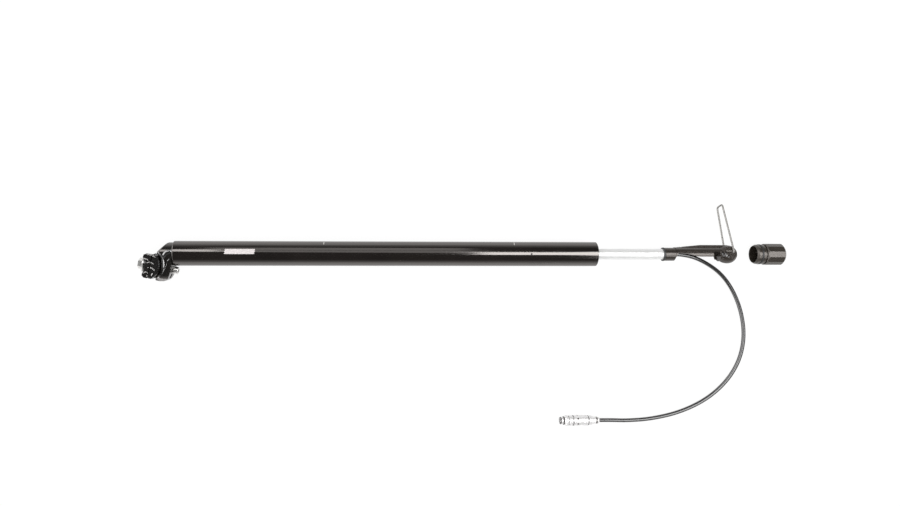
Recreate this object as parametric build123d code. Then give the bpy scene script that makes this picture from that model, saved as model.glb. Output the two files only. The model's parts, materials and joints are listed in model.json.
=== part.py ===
from build123d import *
from math import cos, hypot, pi, radians, sin, tan
import os

# Seatpost for a folding bicycle, with a floor pump built into its lower end.
# The post lies on a table with its pump pulled part of the way out and its end cap taken off.
# Millimetres. The origin is the centre of the tube's lower mouth. +X runs along the post's axis
# out of that mouth, +Y is the side that the footrest stands on, and +Z is up from the table.

# Clearances
RUNNING_GAP = 0.06
BOND_GAP = 0.03
LOOSE_GAP = 0.4
SIDE_GAP = 0.15

# Post tube
POST_D = 33.9
POST_LENGTH = 580.0
POST_WALL = 2.6
POST_MOUTH_ROUND = 0.4
POST_HEAD_ROUND = 1.5
VENT_D = 2.4
VENT_FROM_MOUTH = 94.0

# Saddle rails and the two clamp plates, along the bolt from the tilt axis towards the bolt's head
RAIL_D = 7.0
RAIL_SPACING = 44.0
RAIL_LEVEL = 11.0
RAIL_SPLIT = 1.0
CLAMP_LENGTH = 32.0
RAIL_LIP = 1.5
CLAMP_TILT = 11.5
TILT_DOWN = 14.0
TILT_UP = 1.0
UPPER_PLATE_COVER = 3.0
FRONT_LOBE_RISE = 4.8
REAR_LOBE_RISE = 1.6
LOBE_LENGTH = 6.0
UPPER_ARM_WIDTH = 11.5
UPPER_HUB_RISE = 7.0
UPPER_HUB_D = 23.0
PLATE_GROOVE_PITCH = 7.0
PLATE_GROOVE_START = -8.7
PLATE_GROOVE_WIDTH = 1.5
PLATE_GROOVE_DEPTH = 1.0
CRADLE_END_CHAMFER = 1.5
CRADLE_WINDOW_START = 7.0
CRADLE_WINDOW_DEPTH = 5.0
CRADLE_WINDOW_WIDTH = 24.0
PLATE_GROOVES = 4
PLATE_GROOVE_REACH = 2.2
LOBE_CORNER = 2.5
REAR_LOBE_STEP = 3.0
REAR_LOBE_SLOPE = 2.0
FRONT_LOBE_STEP = 4.0
FRONT_LOBE_SLOPE = 3.0
BRIDGE_LENGTH = 22.0

# Forged head
PIVOT_SETBACK = 15.2
CRADLE_R = 22.3
PIVOT_BEYOND_TUBE = CRADLE_R + 13.7
CRADLE_TOP_ANGLE = 46.0
CRADLE_BOTTOM_ANGLE = -55.0
SEAT_R = CRADLE_R + 13.3
SEAT_TOP_ANGLE = -2.0
SEAT_BOTTOM_ANGLE = -33.0
HEAD_STEP = 2.0
HEAD_DROP = 23.0
BROW_START = 3.0
BROW_BEND = (7.2, 0.6)
BROW_END = (10.2, 3.4)
HEEL_DROP = 2.6
BELLY_SAG = 2.6
HEAD_EDGE_ROUND = 2.0
CRADLE_RIM_BAND = 2.8
CRADLE_RIM_SHARE = 0.84
BOLT_SLOT_SPARE = 9.0
HEAD_POCKET_DEPTH = 2.6

# Corners of the head's pockets, as a radius and an angle about the tilt axis
POCKET_TOP = (CRADLE_R + 7.2, 12.0)
POCKET_LEFT = (CRADLE_R + 2.0, -19.0)
POCKET_BOTTOM = (CRADLE_R + 2.4, -41.0)
POCKET_LOW_RIGHT = (SEAT_R - 4.8, -25.0)
POCKET_RIGHT = (SEAT_R - 3.3, -1.0)

# Spigot that holds the head in the tube
SPIGOT_LENGTH = 35.0
SPIGOT_BORE_D = 18.0

# Clamp bolt, washer and nut
BOLT_D = 6.0
BOLT_HEAD_D = 10.0
BOLT_HEAD_HEIGHT = 5.0
BOLT_KEY = 5.0
BOLT_KEY_DEPTH = 3.0
BOLT_HEAD_ROUND = 0.8
BOLT_END_SHOWING = 0.8
WASHER_THICK = 2.2
WASHER_LENGTH = 9.6
WASHER_WIDTH = 16.0
WASHER_ROUND = 2.5
NUT_FLANGE_D = 22.0
NUT_FLANGE_THICK = 2.2
NUT_KEY = 13.0
NUT_HEIGHT = 6.0

# Pump chamber and the guide of its rod
PLUG_LENGTH = 8.0
GUIDE_LENGTH = 15.0
CIRCLIP_THICK = 1.2
CIRCLIP_DEPTH = 1.0
CIRCLIP_MOUTH = 7.0
BUMPER_THICK = 3.0
SEAL_WIDTH = 2.4
SEAL_DEPTH = 1.6

# Hollow pump rod and piston
ROD_D = 15.0
ROD_WALL = 1.5
ROD_SHOWING = 95.5
PISTON_LENGTH = 16.0
PISTON_GAP = 0.45
PISTON_SEAL_WIDTH = 5.0
PISTON_SEAL_DEPTH = 2.7
PISTON_HUB_LENGTH = 10.0
PISTON_END_GAP = 2.0
VALVE_D = 8.0
VALVE_THICK = 1.0
VALVE_STEM_D = 2.0
VALVE_PORT_D = 1.6
VALVE_PORTS = 4
VALVE_CHAMBER_DEPTH = 4.0
VALVE_WEB = 3.0
VALVE_SEAT_EDGE = 0.5
VALVE_BARB_LENGTH = 1.5
VALVE_BARB_RISE = 0.5

# Pump foot: a collar on the rod, an open trough that stows the chuck, and a round end
FOOT_LENGTH = 107.2
FOOT_IN_BORE_GAP = 1.55
FOOT_END_D = POST_D - 2 * (POST_WALL + FOOT_IN_BORE_GAP)
FOOT_END_LENGTH = 22.2
FOOT_ROLL = 15.5
FOOT_FLANGE_LENGTH = 5.9
FOOT_FLANGE_START_R = 5.6
FOOT_SEAM_EDGE = 0.3
FOOT_SHELL_SHARE = 0.852
FOOT_SHELL_BACK = 1.2
FOOT_FLAT_DEPTH = 3.1
FOOT_FLAT = FOOT_END_D - 2 * FOOT_FLAT_DEPTH
COLLAR_WALL = 1.7
COLLAR_D = ROD_D + 2 * COLLAR_WALL
COLLAR_LENGTH = 17.5
COLLAR_RING_LENGTH = 2.5
COLLAR_RING_RISE = 0.3
COLLAR_RING_CHAMFER = 0.6
COLLAR_END_WALL = 5.0
COLLAR_END_EDGE = 0.4
COLLAR_CUT_BACK = 1.2
COLLAR_CUT_RISE = 2.3
CHUCK_D = 14.7
TROUGH_CHANNEL_D = CHUCK_D + 1.3
TROUGH_WALL = 1.8
TROUGH_D = TROUGH_CHANNEL_D + 2 * TROUGH_WALL
TROUGH_WALL_DEPTH = 5.6
TROUGH_FAR_WALL_DEPTH = 0.5
TROUGH_END_WALL = 4.0
LIP_START = 3.5
LIP_START_DEPTH = 0.8
LIP_SLOPE_LENGTH = 33.5
LIP_BEND_LENGTH = 12.0
LIP_BEND_DROP = 1.0
SIDE_WINDOW_STEP = 6.0
SIDE_WINDOW_LENGTH = 14.7
SIDE_WINDOW_RISE = 1.5
KEEL_WIDTH = 9.6
KEEL_ROUND = 2.0
KEEL_TUCK = 2.0
KEEL_START_RISE = 9.0
KEEL_SLOPE_LENGTH = 39.0
TONGUE_D = 13.0
TONGUE_LENGTH = 9.0
FOOT_PIN_D = 2.3
FOOT_PIN_FROM_SEAM = 3.6
FOOT_PIN_DROP = 4.4
ROD_PIN_D = 2.5
ROD_PIN_FROM_END = 6.0

# Fold-out wire footrest
WIRE_D = 2.4
REST_HINGE_FROM_END = 9.0
REST_SIDE_ROOM = 1.7
REST_HINGE_WIDTH = FOOT_FLAT + WIRE_D + 2 * REST_SIDE_ROOM
REST_TIP_WIDTH = 15.0
REST_REACH = 72.3
REST_LEAN = 4.1
REST_FOLD = 77.3
REST_PIVOT_DEPTH = 7.1
REST_BEND = 2.5
REST_TIP_BEND = 3.5

# Air hose and valve chuck
HOSE_D = 5.5
AIR_HOLE_D = 2.4
GROMMET_WALL = 1.9
GROMMET_FLANGE_RISE = 1.0
GROMMET_FLANGE_LENGTH = 1.5
STOPPER_FROM_END = 4.0
STOPPER_LENGTH = 10.0
STOPPER_SEAL_FROM_FACE = 7.0
STOPPER_SEAL_WIDTH = 2.0
STOPPER_SEAL_DEPTH = 1.5
CHUCK_X = 12.4
CHUCK_Y = -236.9
HOSE_NUT_LENGTH = 16.6
CHUCK_BODY_LENGTH = 21.7
CHUCK_SLEEVE_LENGTH = 18.4
CHUCK_MOUTH_D = 9.8
VALVE_BORE_D = 7.8
CHUCK_CORE_D = 9.2
CHUCK_CORE_LENGTH = 5.0
CHUCK_PORTS = 6
CHUCK_PORT_D = 1.8
CHUCK_PORT_FROM_END = 6.4
CHUCK_EDGE = 0.8
CHUCK_SEAT_DEPTH = 4.0
CHUCK_SLEEVE_GAP = 0.2
HOSE_NUT_WALL = 0.9
HOSE_NUT_ROLL = 1.6
HOSE_NUT_TAPER_END = 10.5
HOSE_NUT_BAND = 1.0
CHUCK_GRIP_BAND = 4.8
CHUCK_GRIP_GROOVE = 2.0
CHUCK_GRIP_END = 10.4
CHUCK_NOSE_LENGTH = 6.0

# End cap, lying on the table in line with the post
CAP_X = 234.4
CAP_Y = 0.2
CAP_SLEEVE_LENGTH = 13.2
CAP_SLIP_GAP = 0.55
CAP_SLEEVE_D = POST_D - 2 * (POST_WALL + CAP_SLIP_GAP)
CAP_SLEEVE_WALL = 1.9
CAP_LIP_LENGTH = 2.6
CAP_LIP_DROP = 1.5
CAP_OVERHANG = 0.6
CAP_FLATS = POST_D - 2 * (POST_WALL - CAP_OVERHANG)
CAP_GROOVE_LENGTH = 1.2
CAP_GROOVE_DEPTH = 1.2
CAP_FLANGE_LENGTH = 1.7
CAP_GRIP_LENGTH = 25.6
CAP_END_WALL = 3.5
CAP_SIDES = 12
CAP_START_CHAMFER = 0.8
CAP_END_CHAMFER = 3.0
STOW_GAP = 1.5

# Sizes that follow from those above
POST_R = POST_D / 2
BORE_R = POST_R - POST_WALL
ROD_R = ROD_D / 2
ROD_BORE_R = ROD_R - ROD_WALL
CLAMP_HALF_WIDTH = RAIL_SPACING / 2 + RAIL_D / 2 + RAIL_LIP
TABLE_Z = -CLAMP_HALF_WIDTH
PIVOT = (-POST_LENGTH - PIVOT_BEYOND_TUBE, -PIVOT_SETBACK)
HEAD_R = POST_R - HEAD_STEP
PLUG_FACE_X = -POST_LENGTH + SPIGOT_LENGTH + PLUG_LENGTH
GUIDE_FACE_X = -(FOOT_LENGTH + CAP_SLEEVE_LENGTH + STOW_GAP)
STOW_TRAVEL = ROD_SHOWING - GUIDE_FACE_X
PISTON_CROWN_X = PLUG_FACE_X + STOW_TRAVEL + PISTON_END_GAP
PISTON_BACK_X = PISTON_CROWN_X + PISTON_LENGTH
FOOT_END_X = ROD_SHOWING + FOOT_LENGTH
FOOT_SEAM_X = FOOT_END_X - FOOT_END_LENGTH
COLLAR_END_X = ROD_SHOWING + COLLAR_LENGTH
ROD_END_X = COLLAR_END_X - COLLAR_END_WALL
REST_HINGE_X = FOOT_END_X - REST_HINGE_FROM_END
CHUCK_Z = TABLE_Z + CHUCK_D / 2
CAP_Z = TABLE_Z + CAP_FLATS / 2
HOSE_Z = TABLE_Z + HOSE_D / 2

# Hose route, from the collar's grommet round to the chuck's nut
HOSE_ROUTE = [
    (COLLAR_END_X, 0, 0),
    (130.1, -0.6, 0),
    (155.3, -8.8, -3.0),
    (186.5, -25.8, -13.5),
    (209.6, -50.3, -22.5),
    (223.8, -83.3, HOSE_Z),
    (228.4, -119.3, HOSE_Z),
    (221.0, -154.3, HOSE_Z),
    (201.1, -185.3, HOSE_Z),
    (170.3, -210.9, HOSE_Z),
    (130.4, -228.5, HOSE_Z),
    (88.5, -237.1, HOSE_Z),
    (52.3, -238.4, -22),
    (31.1, CHUCK_Y, CHUCK_Z),
    (CHUCK_X, CHUCK_Y, CHUCK_Z),
]


def turned(*outline):
    """A solid of revolution about X, from points (x, radius)."""
    return revolve(make_face(Polyline(*outline, close=True)), axis=Axis.X)


def ring(x_start, x_end, inner_r, outer_r):
    return turned((x_start, inner_r), (x_end, inner_r), (x_end, outer_r), (x_start, outer_r))


def bar(x_start, x_end, radius):
    return turned((x_start, 0), (x_end, 0), (x_end, radius), (x_start, radius))


def block(x_span, y_span, z_span):
    """A box between two values along each axis."""
    spans = (x_span, y_span, z_span)
    centre = [sum(span) / 2 for span in spans]
    return Pos(*centre) * Box(*[abs(span[1] - span[0]) for span in spans])


def hex_bar(x_start, x_end, flats):
    """A hexagonal bar along X."""
    plane = Plane(origin=(x_start, 0, 0), x_dir=(0, 1, 0), z_dir=(1, 0, 0))
    return extrude(plane * RegularPolygon(flats / 2, 6, major_radius=False), x_end - x_start)


def round_bar_z(x, y, z_start, z_end, radius):
    """A round bar along Z."""
    height = z_end - z_start
    return Pos(x, y, z_start + height / 2) * Cylinder(radius, height)


def about_pivot(radius, angle):
    """A point of the head's side view, at a radius and an angle about the tilt axis."""
    return (PIVOT[0] + radius * cos(radians(angle)), PIVOT[1] + radius * sin(radians(angle)))


def on_pivot(shape):
    """Puts a clamp piece, drawn along its bolt, on the tilt axis."""
    return Pos(PIVOT[0], PIVOT[1], 0) * Rot(0, 0, -CLAMP_TILT) * shape


def on_foot(shape):
    """Rolls a piece of the foot to the side that its footrest leans to."""
    return Rot(-FOOT_ROLL, 0, 0) * shape


# Post

def seatpost_tube():
    tube = ring(-POST_LENGTH, 0, BORE_R, POST_R)
    rims = tube.edges().filter_by(GeomType.CIRCLE).filter_by(lambda edge: edge.radius > POST_R - 0.01)
    rims = rims.sort_by(Axis.X)
    tube = fillet(rims[0], POST_HEAD_ROUND)
    mouth_rim = tube.edges().filter_by(lambda edge: edge.center().X > -1).sort_by(Edge.length)[-1]
    tube = fillet(mouth_rim, POST_MOUTH_ROUND)
    vent = round_bar_z(-VENT_FROM_MOUTH, 0, BORE_R / 2, POST_D, VENT_D / 2)
    groove = ring(GUIDE_FACE_X, GUIDE_FACE_X + CIRCLIP_THICK, BORE_R / 2, BORE_R + CIRCLIP_DEPTH)
    return tube - vent - groove


def head_side_view():
    """The head's outline, seen along the tilt axis."""
    above = HEAD_R + 1
    brow_start = (-POST_LENGTH - BROW_START, above)
    brow_bend = (-POST_LENGTH - BROW_BEND[0], HEAD_R - BROW_BEND[1])
    brow_end = (-POST_LENGTH - BROW_END[0], HEAD_R - BROW_END[1])
    upper_tip = about_pivot(CRADLE_R, CRADLE_TOP_ANGLE)
    lower_tip = about_pivot(CRADLE_R, CRADLE_BOTTOM_ANGLE)
    heel = (lower_tip[0], lower_tip[1] - HEEL_DROP)
    seat_bottom = about_pivot(SEAT_R, SEAT_BOTTOM_ANGLE)
    seat_middle = about_pivot(SEAT_R, (SEAT_BOTTOM_ANGLE + SEAT_TOP_ANGLE) / 2)
    seat_top = about_pivot(SEAT_R, SEAT_TOP_ANGLE)
    belly = ((heel[0] + seat_bottom[0]) / 2, (heel[1] + seat_bottom[1]) / 2 - BELLY_SAG)
    edges = [
        Line((-POST_LENGTH, above), brow_start),
        ThreePointArc(brow_start, brow_bend, brow_end),
        Line(brow_end, upper_tip),
        ThreePointArc(upper_tip, about_pivot(CRADLE_R, 0), lower_tip),
        Line(lower_tip, heel),
        ThreePointArc(heel, belly, seat_bottom),
        ThreePointArc(seat_bottom, seat_middle, seat_top),
        Line(seat_top, (-POST_LENGTH, seat_top[1])),
        Line((-POST_LENGTH, seat_top[1]), (-POST_LENGTH, above)),
    ]
    return make_face(edges)


def head_pockets():
    """The leaf-shaped hollows that lighten the head's two sides."""
    top = about_pivot(*POCKET_TOP)
    bottom = about_pivot(*POCKET_BOTTOM)
    right = about_pivot(*POCKET_RIGHT)
    leaf = make_face([
        ThreePointArc(top, about_pivot(*POCKET_LEFT), bottom),
        ThreePointArc(bottom, about_pivot(*POCKET_LOW_RIGHT), right),
        Line(right, top),
    ])
    pocket = extrude(leaf, HEAD_POCKET_DEPTH)
    return Pos(0, 0, HEAD_R - HEAD_POCKET_DEPTH) * pocket + Pos(0, 0, -HEAD_R) * pocket


def bolt_slot():
    """The slot that lets the bolt swing with the clamp."""
    reach = BOLT_D / 2 + LOOSE_GAP
    near = CRADLE_R - BOLT_SLOT_SPARE
    far = SEAT_R + BOLT_SLOT_SPARE
    corners = []
    for angle, side, radii in (
        (-CLAMP_TILT + TILT_UP, 1, (near, far)),
        (-CLAMP_TILT - TILT_DOWN, -1, (far, near)),
    ):
        for radius in radii:
            point = about_pivot(radius, angle)
            across = (-side * reach * sin(radians(angle)), side * reach * cos(radians(angle)))
            corners.append((point[0] + across[0], point[1] + across[1]))
    return extrude(make_face(Polyline(*corners, close=True)), reach, both=True)


def rounded_edges(form):
    """The head's edges along its brow and along both sides of its cradle."""
    rim_floor = PIVOT[1] - CRADLE_R * CRADLE_RIM_SHARE
    edges = []
    for edge in form.edges():
        middle = edge.center()
        reach = hypot(middle.X - PIVOT[0], middle.Y - PIVOT[1])
        in_band = abs(reach - CRADLE_R) < CRADLE_RIM_BAND
        on_brow = middle.X < -POST_LENGTH - 2 and middle.Y > 0.2 and edge.length > 1
        on_rim = abs(middle.Z) > BOLT_D / 2 and in_band and middle.Y > rim_floor
        if on_brow or on_rim:
            edges.append(edge)
    return edges


def post_head():
    form = extrude(head_side_view(), HEAD_R + 2, both=True)
    section = Circle(HEAD_R) + Pos(-HEAD_DROP, 0) * Circle(HEAD_R)
    section += Pos(-HEAD_DROP / 2, 0) * Rectangle(HEAD_DROP, HEAD_R * 2)
    plane = Plane(origin=(-POST_LENGTH, 0, 0), x_dir=(0, 1, 0), z_dir=(-1, 0, 0))
    form = form & extrude(plane * section, PIVOT_BEYOND_TUBE)
    form = fillet(rounded_edges(form), HEAD_EDGE_ROUND)
    spigot = ring(-POST_LENGTH - 1, -POST_LENGTH + SPIGOT_LENGTH, SPIGOT_BORE_D / 2, BORE_R - BOND_GAP)
    return form + spigot - bolt_slot() - head_pockets()


def chamber_plug():
    end = -POST_LENGTH + SPIGOT_LENGTH
    plug = bar(end, PLUG_FACE_X, BORE_R - BOND_GAP)
    return plug - chamber_plug_groove(0)


def chamber_plug_groove(gap):
    middle = -POST_LENGTH + SPIGOT_LENGTH + PLUG_LENGTH / 2
    half = SEAL_WIDTH / 2 - gap
    return ring(middle - half, middle + half, BORE_R - SEAL_DEPTH + gap, BORE_R - gap)


def chamber_plug_seal():
    return chamber_plug_groove(BOND_GAP)


def rod_guide():
    left = GUIDE_FACE_X - GUIDE_LENGTH
    guide = ring(left, GUIDE_FACE_X, ROD_R + RUNNING_GAP, BORE_R - BOND_GAP)
    return guide - guide_groove(0) - wiper_pocket(0)


def guide_groove(gap):
    start = GUIDE_FACE_X - GUIDE_LENGTH * 0.7
    return ring(start + gap, start + SEAL_WIDTH - gap, BORE_R - SEAL_DEPTH + gap, BORE_R - gap)


def wiper_pocket(gap):
    pocket_r = ROD_R + SEAL_DEPTH
    return ring(GUIDE_FACE_X - SEAL_WIDTH, GUIDE_FACE_X, ROD_R + RUNNING_GAP, pocket_r - gap)


def guide_circlip():
    """An open spring ring that keeps the guide in."""
    clip = ring(
        GUIDE_FACE_X,
        GUIDE_FACE_X + CIRCLIP_THICK - BOND_GAP,
        BORE_R - CIRCLIP_DEPTH * 1.5,
        BORE_R + CIRCLIP_DEPTH - BOND_GAP,
    )
    reach = (GUIDE_FACE_X - CIRCLIP_THICK, GUIDE_FACE_X + 2 * CIRCLIP_THICK)
    mouth = block(reach, (-POST_R, 0), (-CIRCLIP_MOUTH / 2, CIRCLIP_MOUTH / 2))
    return clip - mouth


def rebound_bumper():
    """The rubber ring that the piston meets when the pump is pulled right out."""
    left = GUIDE_FACE_X - GUIDE_LENGTH - BUMPER_THICK
    return ring(left, GUIDE_FACE_X - GUIDE_LENGTH, ROD_R + LOOSE_GAP, BORE_R - LOOSE_GAP)


# Saddle clamp, drawn along its bolt with the tilt axis at the origin

def rail_grooves():
    grooves = Part()
    for side in (-1, 1):
        place = Pos(RAIL_LEVEL, 0, side * RAIL_SPACING / 2) * Rot(90, 0, 0)
        grooves += place * Cylinder(RAIL_D / 2, CLAMP_LENGTH * 2)
    return grooves


def bolt_hole():
    return bar(-CRADLE_R, CRADLE_R + 2, BOLT_D / 2 + LOOSE_GAP)


def lower_rail_cradle():
    half = CLAMP_LENGTH / 2
    under_r = CRADLE_R - RUNNING_GAP
    disc = Cylinder(under_r, CLAMP_HALF_WIDTH * 2)
    face = RAIL_LEVEL + RAIL_SPLIT / 2
    cradle = disc & block((face, CRADLE_R + 2), (-half, half), (-CLAMP_HALF_WIDTH, CLAMP_HALF_WIDTH))
    corners = cradle.edges().filter_by(Axis.X)
    corners = corners.filter_by(lambda edge: abs(edge.center().Z) > CLAMP_HALF_WIDTH - 1)
    cradle = chamfer(corners, CRADLE_END_CHAMFER) - rail_grooves() - bolt_hole()
    for side in (-1, 1):
        cradle -= block(
            (RAIL_LEVEL, RAIL_LEVEL + CRADLE_WINDOW_DEPTH),
            (side * CRADLE_WINDOW_START, side * half),
            (-CRADLE_WINDOW_WIDTH / 2, CRADLE_WINDOW_WIDTH / 2),
        )
    return on_pivot(cradle)


def upper_valley():
    """The level of the upper plate between its lobes."""
    return RAIL_LEVEL - RAIL_D / 2 - UPPER_PLATE_COVER


def upper_arm_side_view():
    """The C-shaped side of the upper plate, with a lobe at each end."""
    half = CLAMP_LENGTH / 2
    valley = upper_valley()
    face = RAIL_LEVEL - RAIL_SPLIT / 2
    front = valley - FRONT_LOBE_RISE
    rear = valley - REAR_LOBE_RISE
    return Polyline(
        (face, -half),
        (rear + REAR_LOBE_STEP, -half),
        (rear, -half + LOBE_CORNER),
        (rear, -half + LOBE_LENGTH),
        (valley, -half + LOBE_LENGTH + REAR_LOBE_SLOPE),
        (valley, half - LOBE_LENGTH - FRONT_LOBE_SLOPE),
        (front, half - LOBE_LENGTH),
        (front, half - LOBE_CORNER),
        (front + FRONT_LOBE_STEP, half),
        (face, half),
        close=True,
    )


def upper_rail_plate():
    valley = upper_valley()
    face = RAIL_LEVEL - RAIL_SPLIT / 2
    plate = Part()
    for side in (-1, 1):
        arm = extrude(make_face(upper_arm_side_view()), UPPER_ARM_WIDTH)
        if side < 0:
            arm = Pos(0, 0, -CLAMP_HALF_WIDTH) * arm
        else:
            arm = Pos(0, 0, CLAMP_HALF_WIDTH - UPPER_ARM_WIDTH) * arm
        plate += arm - plate_grooves(side)
    bridge_half = CLAMP_HALF_WIDTH - UPPER_ARM_WIDTH + 1
    plate += block((valley, face), (-BRIDGE_LENGTH / 2, BRIDGE_LENGTH / 2), (-bridge_half, bridge_half))
    plate += bar(nut_face(), face, UPPER_HUB_D / 2)
    return on_pivot(plate - rail_grooves() - bolt_hole())


def plate_grooves(side):
    """Shallow grooves across the outer side of one arm."""
    floor = side * (CLAMP_HALF_WIDTH - PLATE_GROOVE_DEPTH)
    outside = side * (CLAMP_HALF_WIDTH + 1)
    grooves = Part()
    for step in range(PLATE_GROOVES):
        middle = PLATE_GROOVE_START + step * PLATE_GROOVE_PITCH
        span = (middle - PLATE_GROOVE_WIDTH / 2, middle + PLATE_GROOVE_WIDTH / 2)
        grooves += block((-BOLT_D, upper_valley() + PLATE_GROOVE_REACH), span, (floor, outside))
    return grooves


def nut_face():
    return upper_valley() - UPPER_HUB_RISE


def clamp_nut():
    face = nut_face()
    flange = bar(face - NUT_FLANGE_THICK, face, NUT_FLANGE_D / 2)
    body = hex_bar(face - NUT_FLANGE_THICK - NUT_HEIGHT, face - NUT_FLANGE_THICK, NUT_KEY)
    return on_pivot(flange + body - bar(face - BOLT_D * 2, face + 1, BOLT_D / 2 + BOND_GAP))


def washer_face():
    return SEAT_R + WASHER_THICK


def bolt_washer():
    """A washer with a hollow face that follows the head's round seat."""
    half_y = WASHER_LENGTH / 2
    half_z = WASHER_WIDTH / 2
    plate = block((SEAT_R - 3, washer_face()), (-half_y, half_y), (-half_z, half_z))
    plate = fillet(plate.edges().filter_by(Axis.X), WASHER_ROUND)
    seat = Cylinder(SEAT_R + RUNNING_GAP, WASHER_WIDTH * 2)
    return on_pivot(plate - seat - bar(SEAT_R - 5, washer_face() + 1, BOLT_D / 2 + SIDE_GAP))


def clamp_bolt():
    seat = washer_face()
    top = seat + BOLT_HEAD_HEIGHT
    tip = nut_face() - NUT_FLANGE_THICK - NUT_HEIGHT - BOLT_END_SHOWING
    head = bar(seat, top, BOLT_HEAD_D / 2)
    head = fillet(head.edges().sort_by(Axis.X)[-1], BOLT_HEAD_ROUND)
    socket = hex_bar(top - BOLT_KEY_DEPTH, top + 1, BOLT_KEY)
    return on_pivot(bar(tip, seat, BOLT_D / 2) + head - socket)


# Pump rod and piston

def piston_groove(gap_side, gap_floor, gap_bore):
    middle = PISTON_CROWN_X + PISTON_LENGTH / 2
    half = PISTON_SEAL_WIDTH / 2 - gap_side
    return ring(middle - half, middle + half, BORE_R - PISTON_SEAL_DEPTH + gap_floor, BORE_R - gap_bore)


def piston_seal():
    return piston_groove(SIDE_GAP, RUNNING_GAP, RUNNING_GAP)


def piston():
    hub_end = PISTON_BACK_X + PISTON_HUB_LENGTH
    web_end = hub_end - VALVE_CHAMBER_DEPTH
    web_start = web_end - VALVE_WEB
    inlet_r = VALVE_D / 2 - VALVE_SEAT_EDGE
    crown = bar(PISTON_CROWN_X, PISTON_BACK_X, BORE_R - PISTON_GAP)
    body = crown + bar(PISTON_BACK_X - 1, hub_end, ROD_BORE_R - BOND_GAP)
    body -= bar(PISTON_CROWN_X - 1, web_start, inlet_r)
    body -= bar(web_end, hub_end + 1, VALVE_D / 2 + SIDE_GAP)
    body -= bar(web_start - 1, hub_end, VALVE_STEM_D / 2 + RUNNING_GAP)
    ring_r = (inlet_r + VALVE_STEM_D / 2) / 2
    port = Rot(0, 90, 0) * Cylinder(VALVE_PORT_D / 2, VALVE_WEB * 2)
    for step in range(VALVE_PORTS):
        body -= Rot(step * 360 / VALVE_PORTS, 0, 0) * Pos((web_start + web_end) / 2, 0, ring_r) * port
    return body - piston_groove(0, 0, -2)


def outlet_valve():
    """A rubber umbrella valve over the ports that lead into the hollow rod."""
    seat = PISTON_BACK_X + PISTON_HUB_LENGTH - VALVE_CHAMBER_DEPTH
    barb = seat - VALVE_WEB
    stem_r = VALVE_STEM_D / 2
    return turned(
        (seat + VALVE_THICK, 0),
        (seat + VALVE_THICK, VALVE_D / 2 - VALVE_THICK),
        (seat + VALVE_THICK / 2, VALVE_D / 2),
        (seat, VALVE_D / 2),
        (seat, stem_r),
        (barb, stem_r),
        (barb, stem_r + VALVE_BARB_RISE),
        (barb - VALVE_BARB_LENGTH, stem_r),
        (barb - VALVE_BARB_LENGTH, 0),
    )


def pump_rod():
    rod = ring(PISTON_BACK_X, ROD_END_X, ROD_BORE_R, ROD_R)
    return on_foot(rod - rod_pin_hole(0))


def rod_pin_hole(gap):
    middle = ROD_END_X - ROD_PIN_FROM_END
    pin = Rot(90, 0, 0) * Cylinder(ROD_PIN_D / 2 - gap, COLLAR_D + 4)
    return Pos(middle, 0, 0) * pin


# Pump foot, drawn with its trough open towards -Y and then rolled

def collar_ring():
    """The rubber ring that meets the rod's guide when the pump is pushed in."""
    inner_r = ROD_R + BOND_GAP
    outer_r = COLLAR_D / 2 + COLLAR_RING_RISE
    end = ROD_SHOWING + COLLAR_RING_LENGTH
    return turned(
        (ROD_SHOWING, inner_r),
        (end, inner_r),
        (end, outer_r - COLLAR_RING_CHAMFER / 2),
        (end - COLLAR_RING_CHAMFER / 2, outer_r),
        (ROD_SHOWING + COLLAR_RING_CHAMFER, outer_r),
        (ROD_SHOWING, outer_r - COLLAR_RING_CHAMFER),
    )


def keel(start, end, start_rise, slope_length):
    """A length of the raised back, sloped up from its start."""
    top = FOOT_END_D / 2
    outline = Polyline(
        (start, 0), (start, start_rise), (start + slope_length, top), (end, top), (end, 0), close=True
    )
    ridge = extrude(make_face(outline), KEEL_WIDTH / 2, both=True)
    crest = ridge.edges().filter_by(
        lambda edge: abs(abs(edge.center().Z) - KEEL_WIDTH / 2) < 0.01
        and edge.center().Y > start_rise - 1
        and edge.bounding_box().size.X > 1
    )
    return fillet(crest, KEEL_ROUND)


def rest_notch():
    """The notch across the keel that the folded footrest drops into."""
    fold = radians(90 - REST_LEAN - REST_FOLD)
    x = REST_HINGE_X - REST_REACH * cos(fold)
    y = REST_REACH * sin(fold)
    wire_room = WIRE_D / 2 + LOOSE_GAP
    notch = Pos(x, y, 0) * Cylinder(wire_room, FOOT_END_D)
    return notch + block((x - wire_room, x + wire_room), (y, FOOT_END_D), (-FOOT_END_D / 2, FOOT_END_D / 2))


def foot_flats():
    """Everything beyond the two flats that the footrest's legs lie on."""
    slabs = Part()
    for side in (-1, 1):
        span = sorted((side * FOOT_FLAT / 2, side * FOOT_END_D))
        slabs += block((COLLAR_END_X, FOOT_END_X + 5), (-FOOT_END_D, FOOT_END_D), span)
    return slabs


def ball_x():
    return FOOT_END_X - FOOT_END_D / 2


def foot_shell():
    """The egg-shaped outside that the body's flange and the foot's end share."""
    flange_x = FOOT_SEAM_X - FOOT_FLANGE_LENGTH
    end_r = FOOT_END_D / 2
    middle = ((flange_x + ball_x()) / 2 - FOOT_SHELL_BACK, end_r * FOOT_SHELL_SHARE)
    outline = [
        Line((flange_x, 0), (flange_x, FOOT_FLANGE_START_R)),
        ThreePointArc((flange_x, FOOT_FLANGE_START_R), middle, (ball_x(), end_r)),
        ThreePointArc(
            (ball_x(), end_r),
            (ball_x() + end_r * cos(radians(45)), end_r * sin(radians(45))),
            (FOOT_END_X, 0),
        ),
        Line((FOOT_END_X, 0), (flange_x, 0)),
    ]
    return revolve(make_face(outline), axis=Axis.X)


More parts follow.
